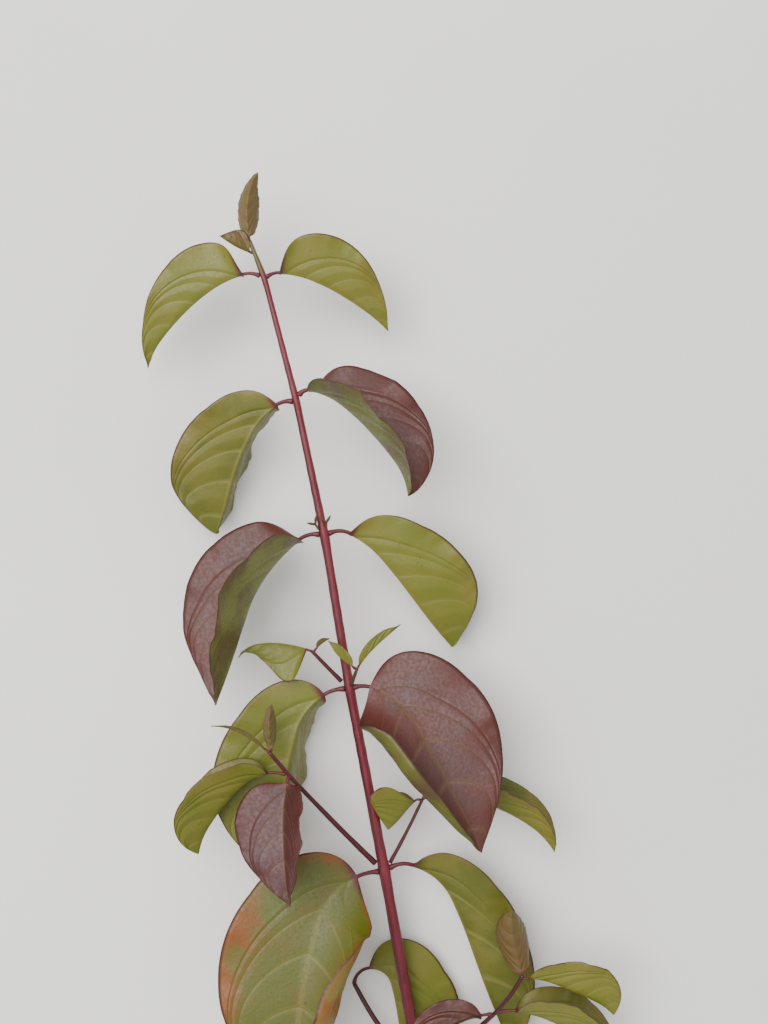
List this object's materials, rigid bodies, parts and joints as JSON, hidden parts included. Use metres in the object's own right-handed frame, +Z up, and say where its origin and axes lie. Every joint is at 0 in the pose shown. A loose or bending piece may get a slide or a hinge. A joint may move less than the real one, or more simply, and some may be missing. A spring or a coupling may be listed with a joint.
{
  "type": "cut leafy dogwood shoot",
  "caption": "Cut leafy shoot of midwinter fire dogwood in autumn colour, with a red stem, paired folded leaves and short leafy side stems.",
  "frame": {"origin": "centre of the bounding box's bottom face, on the level floor that the shoot lies on", "axes": "+Y along the main stem from its cut end to its growing tip, +Z up from the floor, +X to the right seen from above with the tip pointing away"},
  "size_m": [0.1493, 0.4093, 0.0587],
  "materials": {
    "bark_red": "smooth pink-red young bark, darker at the nodes",
    "bark_dark": "dark red side stem bark",
    "bark_olive": "olive young side stem bark",
    "leaf_green": "yellow-green leaf, pale curved veins, thin dark margin",
    "leaf_wine": "wine-brown upper side with tan veins over a yellow-green underside",
    "leaf_autumn": "green leaf turning yellow, orange and red at its margins",
    "leaf_young": "olive-brown young leaf with parallel veins"
  },
  "bodies": {
    "root": {"main_stem": "bark_red", "side_stem_4_left": "bark_dark", "side_stem_4_right": "bark_olive", "side_stem_5_left": "bark_dark", "side_stem_5_right": "bark_dark", "side_stem_6_left": "bark_dark", "side_stem_6_right": "bark_dark", "leaf_1_left": "leaf_green", "leaf_1_right": "leaf_green", "leaf_2_left": "leaf_green", "leaf_2_right": "leaf_wine", "leaf_3_left": "leaf_wine", "leaf_3_right": "leaf_green", "leaf_4_left": "leaf_green", "leaf_4_right": "leaf_wine", "leaf_5_left": "leaf_autumn", "leaf_5_right": "leaf_green", "leaf_6_left": "leaf_green", "leaf_6_right": "leaf_green", "tip_leaf_upright": "leaf_young", "tip_leaf_left": "leaf_young", "side_4_left_big_leaf": "leaf_green", "side_4_left_small_leaf": "leaf_young", "side_4_right_left_leaf": "leaf_green", "side_4_right_right_leaf": "leaf_green", "side_5_left_red_leaf": "leaf_wine", "side_5_left_green_leaf": "leaf_green", "side_5_left_brown_leaf": "leaf_young", "side_5_left_narrow_leaf": "leaf_young", "side_5_right_small_leaf": "leaf_green", "side_5_right_big_leaf": "leaf_green", "side_6_left_leaf": "leaf_green", "side_6_right_young_leaf": "leaf_young", "side_6_right_upper_leaf": "leaf_green", "side_6_right_lower_leaf": "leaf_green", "side_6_right_left_leaf": "leaf_wine", "bud_3_left": "leaf_young", "bud_3_right": "leaf_young"}
  },
  "joints": []
}
